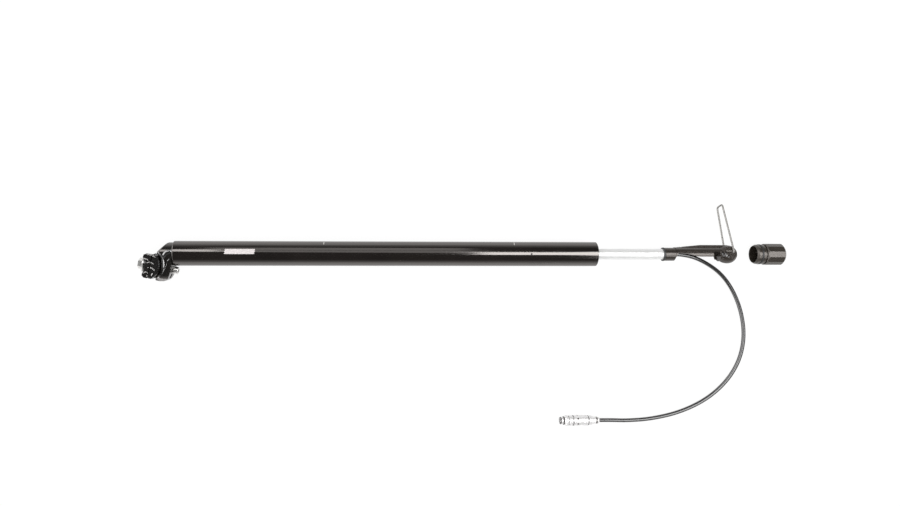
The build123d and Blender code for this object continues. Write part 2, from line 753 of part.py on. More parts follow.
def seam_side(x_start, x_end):
    """The part of the shell between two values of X."""
    return foot_shell() & block((x_start, x_end), (-FOOT_END_D, FOOT_END_D), (-FOOT_END_D, FOOT_END_D))


def trough_opening():
    """Everything below the trough's lip, which drops away from the collar."""
    cut_start = COLLAR_END_X - COLLAR_CUT_BACK
    bend_x = COLLAR_END_X + LIP_START + LIP_BEND_LENGTH
    far_end = FOOT_SEAM_X - SIDE_WINDOW_LENGTH + SIDE_WINDOW_STEP
    outline = Polyline(
        (cut_start, -COLLAR_D / 2 - 1),
        (cut_start + COLLAR_END_EDGE, -COLLAR_D / 2 + COLLAR_CUT_RISE),
        (COLLAR_END_X, -grommet_r() - COLLAR_CUT_BACK / 2),
        (COLLAR_END_X + LIP_START, -LIP_START_DEPTH),
        (bend_x, -LIP_START_DEPTH - LIP_BEND_DROP),
        (COLLAR_END_X + LIP_SLOPE_LENGTH, -TROUGH_WALL_DEPTH),
        (far_end, -TROUGH_WALL_DEPTH),
        (far_end, -FOOT_END_D),
        (cut_start, -FOOT_END_D),
        close=True,
    )
    far_cut = block(
        (COLLAR_END_X, FOOT_SEAM_X - FOOT_FLANGE_LENGTH),
        (-FOOT_END_D, -TROUGH_FAR_WALL_DEPTH),
        (-FOOT_END_D, -TROUGH_CHANNEL_D / 4),
    )
    return extrude(make_face(outline), FOOT_END_D, both=True) + far_cut


def side_window():
    """The opening in the trough's near side, next to the foot's end."""
    return block(
        (FOOT_SEAM_X - SIDE_WINDOW_LENGTH, FOOT_SEAM_X + 1),
        (-FOOT_END_D, SIDE_WINDOW_RISE),
        (TONGUE_D / 2 + LOOSE_GAP, FOOT_END_D),
    )


def foot_body():
    half_channel = TROUGH_CHANNEL_D / 2
    collar = bar(ROD_SHOWING + COLLAR_RING_LENGTH, COLLAR_END_X, COLLAR_D / 2)
    body = collar + bar(COLLAR_END_X - 0.1, FOOT_SEAM_X, TROUGH_D / 2)
    body += keel(COLLAR_END_X - KEEL_TUCK, FOOT_SEAM_X, KEEL_START_RISE, KEEL_SLOPE_LENGTH)
    body += seam_side(COLLAR_END_X, FOOT_SEAM_X)
    channel_end = FOOT_SEAM_X - TROUGH_END_WALL
    body -= bar(COLLAR_END_X, channel_end, half_channel)
    body -= block((COLLAR_END_X, channel_end), (-FOOT_END_D, 0), (-half_channel, half_channel))
    body -= trough_opening() + side_window()
    body -= rest_notch() + foot_flats()
    body += bar(FOOT_SEAM_X - 1, FOOT_SEAM_X + TONGUE_LENGTH, TONGUE_D / 2)
    body -= bar(ROD_SHOWING, ROD_END_X, ROD_R + BOND_GAP)
    body -= bar(ROD_SHOWING, COLLAR_END_X + 1, grommet_r())
    return on_foot(body - rod_pin_hole(-BOND_GAP) - foot_pin_hole(0))


def foot_pin_hole(gap):
    place = Pos(FOOT_SEAM_X + FOOT_PIN_FROM_SEAM, -FOOT_PIN_DROP, 0)
    return place * Cylinder(FOOT_PIN_D / 2 - gap, FOOT_END_D)


def foot_pin():
    end_z = FOOT_FLAT / 2 - SIDE_GAP
    limit = block((FOOT_SEAM_X, FOOT_END_X), (-FOOT_END_D, 0), (-end_z, end_z))
    return on_foot(foot_pin_hole(BOND_GAP) & limit)


def foot_end():
    ridge = keel(FOOT_SEAM_X, ball_x(), FOOT_END_D / 2 - FOOT_SEAM_EDGE, FOOT_SEAM_EDGE)
    end = seam_side(FOOT_SEAM_X, FOOT_END_X) + ridge - foot_flats()
    end -= bar(FOOT_SEAM_X - 1, FOOT_SEAM_X + TONGUE_LENGTH + BOND_GAP, TONGUE_D / 2 + BOND_GAP)
    hinge_r = WIRE_D / 2 + RUNNING_GAP
    for side in (-1, 1):
        inner = FOOT_FLAT / 2 - REST_PIVOT_DEPTH
        span = sorted((side * inner, side * FOOT_END_D / 2))
        end -= round_bar_z(REST_HINGE_X, 0, span[0], span[1], hinge_r)
    return on_foot(end - foot_pin_hole(0))


def rod_pin():
    end_y = COLLAR_D / 2 - 2 * SIDE_GAP
    limit = block((ROD_SHOWING, COLLAR_END_X), (-end_y, end_y), (-ROD_PIN_D, ROD_PIN_D))
    return on_foot((rod_pin_hole(BOND_GAP) & limit) - bar(ROD_SHOWING, ROD_END_X, ROD_BORE_R))


def wire_footrest():
    """One bent wire: a stub in each side of the foot's end, two legs and a crossbar."""
    stub = FOOT_FLAT / 2 - REST_PIVOT_DEPTH + SIDE_GAP
    half_hinge = REST_HINGE_WIDTH / 2
    half_tip = REST_TIP_WIDTH / 2
    lean = radians(REST_LEAN)
    tip = (REST_HINGE_X - REST_REACH * sin(lean), REST_REACH * cos(lean))
    corners = [
        (REST_HINGE_X, 0, stub),
        (REST_HINGE_X, 0, half_hinge),
        (tip[0], tip[1], half_tip),
        (tip[0], tip[1], -half_tip),
        (REST_HINGE_X, 0, -half_hinge),
        (REST_HINGE_X, 0, -stub),
    ]
    path = FilletPolyline(*corners, radius=[REST_BEND, REST_TIP_BEND, REST_TIP_BEND, REST_BEND])
    section = Plane(origin=corners[0], z_dir=(0, 0, 1)) * Circle(WIRE_D / 2)
    return on_foot(sweep(section, path=path))


# Hose and valve chuck

def grommet_r():
    return HOSE_D / 2 + GROMMET_WALL


def hose_grommet():
    """The guide in the collar's end wall that the hose slides through."""
    inner = HOSE_D / 2 + SIDE_GAP
    outer = grommet_r() - BOND_GAP
    flange = min(grommet_r() + GROMMET_FLANGE_RISE, ROD_BORE_R - SIDE_GAP)
    flange_x = ROD_END_X - GROMMET_FLANGE_LENGTH
    return turned(
        (flange_x, inner),
        (COLLAR_END_X, inner),
        (COLLAR_END_X, outer),
        (ROD_END_X, outer),
        (ROD_END_X, flange),
        (flange_x, flange),
    )


def hose_tail():
    """The hose's inner end, in line through the grommet."""
    return bar(stopper_face(), COLLAR_END_X, HOSE_D / 2)


def stopper_face():
    return ROD_END_X - STOPPER_FROM_END


def hose_stopper():
    """The brass end fitting that keeps the hose from leaving the rod."""
    face = stopper_face()
    body = bar(face - STOPPER_LENGTH, face, ROD_BORE_R - SIDE_GAP)
    body -= bar(face - STOPPER_LENGTH - 1, face + 1, AIR_HOLE_D / 2)
    return body - stopper_groove(0)


def stopper_groove(gap):
    start = stopper_face() - STOPPER_SEAL_FROM_FACE
    end = start + STOPPER_SEAL_WIDTH
    outer_r = ROD_BORE_R - gap if gap else ROD_BORE_R + 1
    return ring(start + gap, end - gap, ROD_BORE_R - STOPPER_SEAL_DEPTH + gap, outer_r)


def stopper_seal():
    return stopper_groove(BOND_GAP)


def corner_radii(points):
    """The largest arc that each corner's two runs leave room for."""
    radii = []
    for before, corner, after in zip(points, points[1:], points[2:]):
        run_in = Vector(*corner) - Vector(*before)
        run_out = Vector(*after) - Vector(*corner)
        turn = run_in.get_angle(run_out)
        radii.append(0.45 * min(run_in.length, run_out.length) / tan(radians(turn / 2)))
    return radii


def air_hose():
    radii = corner_radii(HOSE_ROUTE)
    path = FilletPolyline(*HOSE_ROUTE, radius=radii)
    section = Plane(origin=HOSE_ROUTE[0], z_dir=(1, 0, 0)) * Circle(HOSE_D / 2)
    hose = sweep(section, path=path)
    runs = [(Vector(*b) - Vector(*a)).length for a, b in zip(HOSE_ROUTE, HOSE_ROUTE[1:])]
    expected = path.length * pi * HOSE_D**2 / 4
    print("hose runs", [round(run, 1) for run in runs])
    print("hose radii", [round(radius, 1) for radius in radii])
    print("hose length", round(path.length, 1), "volume", round(hose.volume, 1), "of", round(expected, 1))
    return hose


def on_chuck(shape):
    return Pos(CHUCK_X, CHUCK_Y, CHUCK_Z) * shape


def hose_nut():
    """The tapered nut that grips the hose on the chuck."""
    end_r = HOSE_D / 2 + HOSE_NUT_WALL
    wide_r = CHUCK_D / 2 - CHUCK_EDGE
    nut = turned(
        (0, 0),
        (0, end_r),
        (-HOSE_NUT_ROLL, end_r + CHUCK_EDGE),
        (-HOSE_NUT_ROLL * 2, end_r + HOSE_NUT_WALL),
        (-HOSE_NUT_TAPER_END, wide_r - CHUCK_EDGE),
        (-HOSE_NUT_TAPER_END - HOSE_NUT_BAND, wide_r),
        (-HOSE_NUT_LENGTH + HOSE_NUT_BAND, wide_r),
        (-HOSE_NUT_LENGTH, wide_r - CHUCK_EDGE),
        (-HOSE_NUT_LENGTH, 0),
    )
    return on_chuck(nut)


def chuck_body():
    start = -HOSE_NUT_LENGTH
    end = start - CHUCK_BODY_LENGTH
    full_r = CHUCK_D / 2
    core_r = CHUCK_CORE_D / 2
    body = turned(
        (start, 0),
        (start, full_r - CHUCK_EDGE),
        (start - CHUCK_EDGE, full_r),
        (end + CHUCK_EDGE, full_r),
        (end, full_r - CHUCK_EDGE),
        (end, core_r),
        (end - CHUCK_CORE_LENGTH, core_r),
        (end - CHUCK_CORE_LENGTH, 0),
    )
    port = Pos(end + CHUCK_PORT_FROM_END, 0, full_r - 1) * Cylinder(CHUCK_PORT_D / 2, 3)
    for step in range(CHUCK_PORTS):
        body -= Rot((step + 0.5) * 360 / CHUCK_PORTS, 0, 0) * port
    return on_chuck(body - bar(end - CHUCK_CORE_LENGTH - 1, end + CHUCK_CORE_LENGTH, AIR_HOLE_D / 2))


def chuck_mouth_x():
    return -HOSE_NUT_LENGTH - CHUCK_BODY_LENGTH - CHUCK_SLEEVE_LENGTH


def chuck_sleeve():
    """The screwed nose that squeezes the gasket onto a tyre's valve."""
    start = -HOSE_NUT_LENGTH - CHUCK_BODY_LENGTH - CHUCK_SLEEVE_GAP
    groove = start - CHUCK_GRIP_BAND
    groove_end = groove - CHUCK_GRIP_GROOVE
    seat = chuck_mouth_x() + CHUCK_SEAT_DEPTH
    nose = chuck_mouth_x() + CHUCK_NOSE_LENGTH
    mouth = chuck_mouth_x()
    full_r = CHUCK_D / 2
    mouth_r = CHUCK_MOUTH_D / 2
    inner_r = CHUCK_CORE_D / 2 + RUNNING_GAP
    sleeve = turned(
        (start, inner_r),
        (start, full_r - CHUCK_EDGE),
        (start - CHUCK_EDGE, full_r),
        (groove, full_r),
        (groove - CHUCK_EDGE, full_r - CHUCK_EDGE),
        (groove_end + CHUCK_EDGE, full_r - CHUCK_EDGE),
        (groove_end, full_r),
        (start - CHUCK_GRIP_END + CHUCK_EDGE, full_r),
        (start - CHUCK_GRIP_END, full_r - CHUCK_EDGE),
        (nose, mouth_r + CHUCK_EDGE),
        (nose - CHUCK_EDGE / 2, mouth_r),
        (mouth + CHUCK_EDGE, mouth_r),
        (mouth, mouth_r - CHUCK_EDGE),
        (mouth, VALVE_BORE_D / 2),
        (seat, VALVE_BORE_D / 2),
        (seat, inner_r),
    )
    return on_chuck(sleeve)


def valve_gasket():
    seat = chuck_mouth_x() + CHUCK_SEAT_DEPTH
    core_end = -HOSE_NUT_LENGTH - CHUCK_BODY_LENGTH - CHUCK_CORE_LENGTH
    return on_chuck(ring(seat + BOND_GAP, core_end - SIDE_GAP, VALVE_BORE_D / 2, CHUCK_CORE_D / 2))


# End cap

def on_cap(shape):
    return Pos(CAP_X, CAP_Y, CAP_Z) * shape


def cap_seal_groove(gap):
    start = CAP_SLEEVE_LENGTH / 2
    floor = CAP_SLEEVE_D / 2 - CAP_GROOVE_DEPTH
    return ring(start + gap, start + SEAL_WIDTH - gap, floor + gap, BORE_R - RUNNING_GAP)


def cap_sleeve():
    """The plug of the cap, which pushes into the tube's mouth."""
    outer = CAP_SLEEVE_D / 2
    inner = outer - CAP_SLEEVE_WALL
    flange = CAP_FLATS / 2
    flange_x = CAP_SLEEVE_LENGTH + CAP_GROOVE_LENGTH
    back = flange_x + CAP_FLANGE_LENGTH + CAP_GRIP_LENGTH - CAP_END_WALL
    sleeve = turned(
        (0, inner),
        (0, outer - CAP_LIP_DROP),
        (CAP_LIP_LENGTH, outer),
        (CAP_SLEEVE_LENGTH, outer),
        (CAP_SLEEVE_LENGTH, outer - CAP_GROOVE_DEPTH),
        (flange_x, outer - CAP_GROOVE_DEPTH),
        (flange_x, flange - CAP_START_CHAMFER / 2),
        (flange_x + CAP_START_CHAMFER / 2, flange),
        (flange_x + CAP_FLANGE_LENGTH, flange),
        (flange_x + CAP_FLANGE_LENGTH, outer),
        (back, outer),
        (back, inner),
    )
    return on_cap(sleeve - cap_seal_groove(0))


def cap_seal():
    return on_cap(cap_seal_groove(BOND_GAP))


def cap_grip():
    """The twelve-sided grip, chamfered at both ends."""
    start = CAP_SLEEVE_LENGTH + CAP_GROOVE_LENGTH + CAP_FLANGE_LENGTH
    end = start + CAP_GRIP_LENGTH
    plane = Plane(origin=(start, 0, 0), x_dir=(0, 1, 0), z_dir=(1, 0, 0))
    face = plane * RegularPolygon(CAP_FLATS / 2, CAP_SIDES, major_radius=False, rotation=180 / CAP_SIDES)
    grip = extrude(face, CAP_GRIP_LENGTH)
    corner_r = CAP_FLATS / 2 / cos(radians(180 / CAP_SIDES))
    envelope = turned(
        (start, 0),
        (start, CAP_FLATS / 2),
        (start + CAP_START_CHAMFER, corner_r),
        (end - CAP_END_CHAMFER, corner_r),
        (end, corner_r - CAP_END_CHAMFER),
        (end, 0),
    )
    grip = grip & envelope
    return on_cap(grip - bar(start - 1, end - CAP_END_WALL, CAP_SLEEVE_D / 2 + BOND_GAP))


PIECES = {
    "seatpost_tube": seatpost_tube,
    "post_head": post_head,
    "chamber_plug": chamber_plug,
    "chamber_plug_seal": chamber_plug_seal,
    "rod_guide": rod_guide,
    "rod_guide_seal": lambda: guide_groove(BOND_GAP),
    "rod_wiper": lambda: wiper_pocket(BOND_GAP),
    "guide_circlip": guide_circlip,
    "rebound_bumper": rebound_bumper,
    "lower_rail_cradle": lower_rail_cradle,
    "upper_rail_plate": upper_rail_plate,
    "clamp_nut": clamp_nut,
    "bolt_washer": bolt_washer,
    "clamp_bolt": clamp_bolt,
    "piston_seal": piston_seal,
    "piston": piston,
    "outlet_valve": outlet_valve,
    "pump_rod": pump_rod,
    "collar_ring": collar_ring,
    "foot_body": foot_body,
    "foot_end": foot_end,
    "foot_pin": foot_pin,
    "rod_pin": rod_pin,
    "wire_footrest": wire_footrest,
    "hose_grommet": hose_grommet,
    "hose_tail": hose_tail,
    "hose_stopper": hose_stopper,
    "stopper_seal": stopper_seal,
    "air_hose": air_hose,
    "hose_nut": hose_nut,
    "chuck_body": chuck_body,
    "chuck_sleeve": chuck_sleeve,
    "valve_gasket": valve_gasket,
    "cap_sleeve": cap_sleeve,
    "cap_seal": cap_seal,
    "cap_grip": cap_grip,
}

os.makedirs("parts", exist_ok=True)
for name, make in PIECES.items():
    export_step(make(), f"parts/{name}.step")
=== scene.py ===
import json
import math

import bmesh
import bpy
from mathutils import Matrix, Vector


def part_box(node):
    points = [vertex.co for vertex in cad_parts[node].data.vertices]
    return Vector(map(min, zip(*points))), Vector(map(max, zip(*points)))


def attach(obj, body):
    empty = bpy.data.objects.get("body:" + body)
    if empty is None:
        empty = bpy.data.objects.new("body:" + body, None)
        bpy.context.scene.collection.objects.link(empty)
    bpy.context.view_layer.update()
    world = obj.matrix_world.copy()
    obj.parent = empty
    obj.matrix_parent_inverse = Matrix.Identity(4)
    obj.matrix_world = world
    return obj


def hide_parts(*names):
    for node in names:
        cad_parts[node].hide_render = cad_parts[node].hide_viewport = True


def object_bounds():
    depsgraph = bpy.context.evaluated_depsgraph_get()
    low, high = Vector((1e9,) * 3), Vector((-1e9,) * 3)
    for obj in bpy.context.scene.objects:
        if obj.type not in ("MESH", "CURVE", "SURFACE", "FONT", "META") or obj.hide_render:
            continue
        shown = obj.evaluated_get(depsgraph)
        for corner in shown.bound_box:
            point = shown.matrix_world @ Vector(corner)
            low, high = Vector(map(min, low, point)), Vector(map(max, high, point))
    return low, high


# The looks of a seatpost with a built-in pump, which lies on a white table and is seen from above.
# Metres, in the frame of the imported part: +X out of the tube's mouth, +Z up from the table.
# Details that lie on the part are given in millimetres, as they are seen from above.

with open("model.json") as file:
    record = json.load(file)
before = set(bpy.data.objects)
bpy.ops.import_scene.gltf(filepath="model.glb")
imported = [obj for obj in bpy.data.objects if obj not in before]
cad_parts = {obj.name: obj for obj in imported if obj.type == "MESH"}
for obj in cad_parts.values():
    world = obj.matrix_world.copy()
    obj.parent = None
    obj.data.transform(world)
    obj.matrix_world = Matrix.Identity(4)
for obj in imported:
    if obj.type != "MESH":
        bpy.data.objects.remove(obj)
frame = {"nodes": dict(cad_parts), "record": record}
cad_box = [list(corner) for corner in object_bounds()]

MM = 0.001

tube_low, tube_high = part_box("seatpost_tube")
TUBE_R = (tube_high.z - tube_low.z) / 2
TABLE_Z = cad_box[0][2]

# Clamp and chuck, as they lie in the part, in millimetres
CLAMP_AXIS = (-616.0, -15.2)
CHUCK_Y = -236.9
CHUCK_Z = -19.65
CHUCK_R = 7.35
PORT_X = -19.5
PORTS = 6
FIRST_PORT_DEGREES = 30

# Hose, whose points are those of the plain hose in the part
HOSE_D = 5.5 * MM
HOSE_ROUTE_MM = [
    (113, 0, 0),
    (130.1, -0.6, 0),
    (155.3, -8.8, -3),
    (186.5, -25.8, -13.5),
    (209.6, -50.3, -22.5),
    (223.8, -83.3, -24.25),
    (228.4, -119.3, -24.25),
    (221, -154.3, -24.25),
    (201.1, -185.3, -24.25),
    (170.3, -210.9, -24.25),
    (130.4, -228.5, -24.25),
    (88.5, -237.1, -24.25),
    (52.3, -238.4, -22),
    (31.1, -236.9, -19.65),
    (12.4, -236.9, -19.65),
]


# Node helpers

def grey(value):
    return (value, value, value, 1)


class NodeTree:
    """A node tree that is written one node at a time.

    A source is a node together with the name or the number of its output.
    """

    def __init__(self, tree):
        self.tree = tree
        tree.nodes.clear()

    def add(self, kind, **settings):
        node = self.tree.nodes.new(kind)
        for key, value in settings.items():
            setattr(node, key, value)
        return node

    def join(self, node, output, target, entry):
        self.tree.links.new(node.outputs[output], target.inputs[entry])

    def ramp(self, source, stops):
        """Maps a factor to colours or greys at the stops."""
        ramp = self.add("ShaderNodeValToRGB")
        elements = ramp.color_ramp.elements
        while len(elements) < len(stops):
            elements.new(0.5)
        for element, (position, colour) in zip(elements, stops):
            element.position = position
            element.color = grey(colour) if isinstance(colour, (int, float)) else (*colour, 1)
        self.join(*source, ramp, "Fac")
        return ramp

    def calculate(self, operation, first, second):
        """Works on a source and a second value, which is a source or a number."""
        node = self.add("ShaderNodeMath", operation=operation)
        self.join(*first, node, 0)
        if isinstance(second, tuple):
            self.join(*second, node, 1)
        else:
            node.inputs[1].default_value = second
        return node

    def blend(self, share, first, second):
        """Mixes two shaders, all three being sources."""
        node = self.add("ShaderNodeMixShader")
        for place, source in enumerate((share, first, second)):
            self.join(*source, node, place)
        return node


class Shader(NodeTree):
    """A material with one surface shader."""

    def __init__(self, name):
        self.material = bpy.data.materials.new(name)
        self.material.use_nodes = True
        super().__init__(self.material.node_tree)
        self.output = self.add("ShaderNodeOutputMaterial")
        self.surface = self.add("ShaderNodeBsdfPrincipled")
        self.join(self.surface, "BSDF", self.output, "Surface")
        self.place = self.add("ShaderNodeTexCoord")

    def set(self, **values):
        """Sets sockets of the surface shader, with underscores for the spaces in their names."""
        for key, value in values.items():
            self.surface.inputs[key.replace("_", " ")].default_value = value

    def noise(self, scale, detail, stretch=(1, 1, 1)):
        mapping = self.add("ShaderNodeMapping")
        mapping.inputs["Scale"].default_value = stretch
        noise = self.add("ShaderNodeTexNoise")
        noise.inputs["Scale"].default_value = scale
        noise.inputs["Detail"].default_value = detail
        self.join(self.place, "Object", mapping, "Vector")
        self.join(mapping, "Vector", noise, "Vector")
        return noise

    def vary(self, noise, entry, stops, values):
        """Moves a socket of the surface from one value to another, between two levels of a noise."""
        ramp = self.ramp((noise, "Fac"), list(zip(stops, values)))
        self.join(ramp, "Color", self.surface, entry)

    def bump(self, noise, strength, distance):
        bump = self.add("ShaderNodeBump")
        bump.inputs["Strength"].default_value = strength
        bump.inputs["Distance"].default_value = distance
        self.join(noise, "Fac", bump, "Height")
        self.join(bump, "Normal", self.surface, "Normal")


# Materials

COLOUR_STOPS = (0.3, 0.7)
FINE_DETAIL = 2.0
DRIFT_SCALE = 18.0
DRIFT_DETAIL = 5.0
GRAIN_BUMP = 0.4
GRAIN_STOPS = (0.25, 0.75)
GRAIN_ROUGHNESS = (0.85, 1.15)
LATHE_BUMP = 0.5
LATHE_SHADE = 0.93
LATHE_STOPS = (0.2, 0.8)
LATHE_ROUGHNESS = (0.8, 1.25)
LATHE_STRETCH = (1, 0.01, 0.01)
WARM = (1.0, 0.94, 0.9, 1.0)

materials = {}


def paint(name, colour, roughness, spread=0.25, grain=900.0, grain_height=0.00002, **settings):
    """A coated or moulded surface: a colour that drifts a little, with a fine grain."""
    shader = Shader(name)
    low = tuple(channel * (1 - spread) for channel in colour)
    high = tuple(min(1.0, channel * (1 + spread)) for channel in colour)
    drift = shader.noise(DRIFT_SCALE, DRIFT_DETAIL)
    shader.vary(drift, "Base Color", COLOUR_STOPS, (low, high))
    fine = shader.noise(grain, FINE_DETAIL)
    shader.vary(fine, "Roughness", GRAIN_STOPS, [roughness * share for share in GRAIN_ROUGHNESS])
    shader.bump(fine, GRAIN_BUMP, grain_height)
    shader.set(**settings)
    materials[name] = shader.material


def turned_metal(name, colour, roughness, lines=2600.0, depth=0.000008, **settings):
    """Metal with fine turning lines round X."""
    shader = Shader(name)
    low = tuple(channel * LATHE_SHADE for channel in colour)
    lathe = shader.noise(lines, FINE_DETAIL, LATHE_STRETCH)
    shader.vary(lathe, "Base Color", COLOUR_STOPS, (low, colour))
    shader.vary(lathe, "Roughness", LATHE_STOPS, [roughness * share for share in LATHE_ROUGHNESS])
    shader.bump(lathe, LATHE_BUMP, depth)
    shader.set(**settings)
    materials[name] = shader.material


# The slots of the part
paint("post_black", (0.011, 0.0085, 0.0075), 0.11, IOR=2.0, Specular_Tint=WARM)
paint("head_black", (0.011, 0.010, 0.009), 0.15, IOR=1.9, Specular_Tint=WARM)
paint("clamp_black", (0.007, 0.006, 0.0055), 0.2, IOR=1.8)
paint("foot_plastic", (0.034, 0.028, 0.023), 0.26, IOR=1.6, Specular_Tint=WARM)
paint(
    "cap_plastic", (0.042, 0.035, 0.028), 0.28, grain_height=0.00001,
    IOR=1.65, Specular_Tint=WARM,
)
paint("hose_rubber", (0.02, 0.019, 0.019), 0.18, grain=1500.0, IOR=1.8)
paint("seal_rubber", (0.02, 0.02, 0.02), 0.5)
turned_metal("rod_aluminium", (0.95, 0.95, 0.945), 0.4, Metallic=0.3)
turned_metal("chuck_aluminium", (0.95, 0.94, 0.94), 0.35, Metallic=0.3)
turned_metal("plain_aluminium", (0.8, 0.8, 0.8), 0.35, Metallic=1.0)
turned_metal("spring_steel", (0.5, 0.5, 0.5), 0.3, Metallic=1.0)
turned_metal("zinc_steel", (0.75, 0.74, 0.72), 0.28, Metallic=1.0)
paint(
    "footrest_wire", (0.31, 0.3, 0.285), 0.45, spread=0.08, grain_height=0.000003,
    Metallic=0.4,
)
turned_metal("brass", (0.8, 0.6, 0.27), 0.3, Metallic=1.0)

# The printed places and the small details
paint("label_white", (0.9, 0.84, 0.83), 0.4, spread=0.03, grain_height=0.00001)
paint("mark_white", (0.6, 0.58, 0.55), 0.5, spread=0.1, grain_height=0.00001)
# Pale metal for the clamp's streaks, which are painted highlights
turned_metal("painted_highlight_metal", (0.42, 0.41, 0.4), 0.25, Metallic=0.7)
paint("seam_grey", (0.1, 0.095, 0.09), 0.45)
# Dark for the chuck's seams, and for the painted shade in its ports
paint("seam_and_port_shade_dark", (0.04, 0.034, 0.03), 0.3)
turned_metal("collar_grey", (0.3, 0.29, 0.28), 0.25, Metallic=0.8)
# Near black for the patch by the foot's pivot, painted shade
paint("painted_shade_black", (0.005, 0.004, 0.0035), 0.2)
# Pale grey for the ridge along the foot, a painted highlight
paint("painted_highlight_grey", (0.11, 0.095, 0.08), 0.4)
paint("rim_black", (0.012, 0.011, 0.010), 0.16, IOR=2.8)
# Pale grey under the head, a painted reflection of the white table
paint("belly_painted_reflection", (0.36, 0.345, 0.34), 0.4, spread=0.12)

for subpart in frame["record"]["subparts"]:
    node = frame["nodes"][subpart["node"]]
    node.data.materials.clear()
    node.data.materials.append(materials[subpart["material_slot"]])


# Mesh helpers

def in_scene(obj):
    bpy.context.scene.collection.objects.link(obj)
    return obj


def new_piece(name, mesh, material, body, closed=True):
    """Makes a piece of a mesh. The faces of a closed one are turned outwards."""
    data = bpy.data.meshes.new(name)
    if closed:
        bmesh.ops.recalc_face_normals(mesh, faces=mesh.faces)
    mesh.to_mesh(data)
    mesh.free()
    data.shade_smooth()
    data.materials.append(materials[material])
    piece = in_scene(bpy.data.objects.new(name, data))
    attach(piece, body)


def bridge(mesh, first, second):
    """Faces between two rows of vertices."""
    for a, b, c, d in zip(first, first[1:], second[1:], second):
        mesh.faces.new((a, b, c, d))


def bridge_round(mesh, first, second):
    """Faces between two rows of vertices that both run round."""
    bridge(mesh, [*first, first[0]], [*second, second[0]])


# Printed places on the tube

PATCH_LIFT = 0.06
PATCH_EDGE_LIFT = -0.03
PATCH_STEP = 1.5
PATCH_COLUMNS_LEAST = 4
PATCH_ROWS = 12


def tube_patch(name, material, x_left, x_right, y_low, y_high, slant, corner=0.25):
    """A thin plate that follows the tube, given by its sides."""
    columns = max(PATCH_COLUMNS_LEAST, int((x_right - x_left) / PATCH_STEP))
    angle_low = math.asin(y_low * MM / TUBE_R)
    angle_high = math.asin(y_high * MM / TUBE_R)
    mesh = bmesh.new()
    rows = []
    for row in range(PATCH_ROWS + 1):
        share = row / PATCH_ROWS
        angle = angle_low + (angle_high - angle_low) * share
        edge = min(share, 1 - share) * (y_high - y_low)
        inset = max(0.0, corner - edge)
        line = []
        for column in range(columns + 1):
            along = column / columns
            width = x_right - x_left - 2 * inset
            x = x_left + inset + width * along + slant * (share - 0.5)
            border = row in (0, PATCH_ROWS) or column in (0, columns)
            radius = TUBE_R + (PATCH_EDGE_LIFT if border else PATCH_LIFT) * MM
            place = (x * MM, radius * math.sin(angle), radius * math.cos(angle))
            line.append(mesh.verts.new(place))
        rows.append(line)
    for lower, upper in zip(rows, rows[1:]):
        bridge(mesh, lower, upper)
    new_piece(name, mesh, material, "post", closed=False)


tube_patch("plain_label", "label_white", -510.3, -469.6, -1.1, 6.3, slant=1.3)
tube_patch("limit_mark_upper", "mark_white", -378.6, -377.0, 12.2, 16.0, slant=0.5, corner=0.1)
tube_patch("limit_mark_lower", "mark_white", -117.4, -115.8, 12.2, 16.0, slant=0.5, corner=0.1)


# Ribs

RAY_START = 0.2
BESIDE_NODES = -20.0
ROUTE_STEPS = 6
RIB_SIDES = 8
RIB_SINK = 0.15
RIB_LEAST_FULLNESS = 0.05


def height_above(nodes, x, y):
    """The height of the highest surface of the nodes above a place, or a low level beside them."""
    found = [BESIDE_NODES]
    for name in nodes:
        node = frame["nodes"][name]
        inverse = node.matrix_world.inverted()
        start = inverse @ Vector((x * MM, y * MM, RAY_START))
        hit, place = node.ray_cast(start, inverse.to_3x3() @ Vector((0, 0, -1)))[:2]
        if hit:
            found.append((node.matrix_world @ place).z / MM)
    return max(found)


def soft_step(p, q, r, s, t):
    """A value between q and r on a Catmull-Rom curve, where t runs from 0 to 1."""
    linear = (r - p) * t
    square = (2 * p - 5 * q + 4 * r - s) * t ** 2
    cube = (3 * q - p - 3 * r + s) * t ** 3
    return 0.5 * (2 * q + linear + square + cube)


def smooth_route(points):
    """Points on a soft line through the given ones."""
    ends = [points[0], *points, points[-1]]
    route = []
    for four in zip(ends, ends[1:], ends[2:], ends[3:]):
        for step in range(ROUTE_STEPS):
            t = step / ROUTE_STEPS
            route.append(tuple(soft_step(*values, t) for values in zip(*four)))
    return [*route, points[-1]]


def rib(name, material, body, nodes, points, half_width, rise, slope=0.0):
    """A rounded rib that lies on the nodes along a line, with pointed ends.

    Its slope is the fall of its left side for each millimetre from the middle, and the rise of
    its right side.
    """
    route = smooth_route(points)
    mesh = bmesh.new()
    rows = []
    for number, (x, y) in enumerate(route):
        before = Vector(route[max(0, number - 1)])
        after = Vector(route[min(len(route) - 1, number + 1)])
        along = (after - before).normalized()
        share = number / (len(route) - 1)
        fullness = max(RIB_LEAST_FULLNESS, math.sin(math.pi * share)) ** 0.5
        base = height_above(nodes, x, y)
        row = []
        for step in range(RIB_SIDES + 1):
            angle = math.radians(-90 + step * 180 / RIB_SIDES)
            aside = half_width * fullness * math.sin(angle)
            up = rise * fullness * math.cos(angle) - RIB_SINK - slope * aside
            place = (x - along.y * aside, y + along.x * aside, base + up)
            row.append(mesh.verts.new([value * MM for value in place]))
        rows.append(row)
    for first, second in zip(rows, rows[1:]):
        bridge(mesh, first, second)
        mesh.faces.new((first[0], second[0], second[-1], first[-1]))
    mesh.faces.new(rows[0])
    mesh.faces.new(list(reversed(rows[-1])))
    new_piece(name, mesh, material, body)


def arc(centre, radius, turns):
    """Points of a circle at the turns, in degrees."""
    return [
        (
            centre[0] + radius * math.cos(math.radians(turn)),
            centre[1] + radius * math.sin(math.radians(turn)),
        )
        for turn in turns
    ]


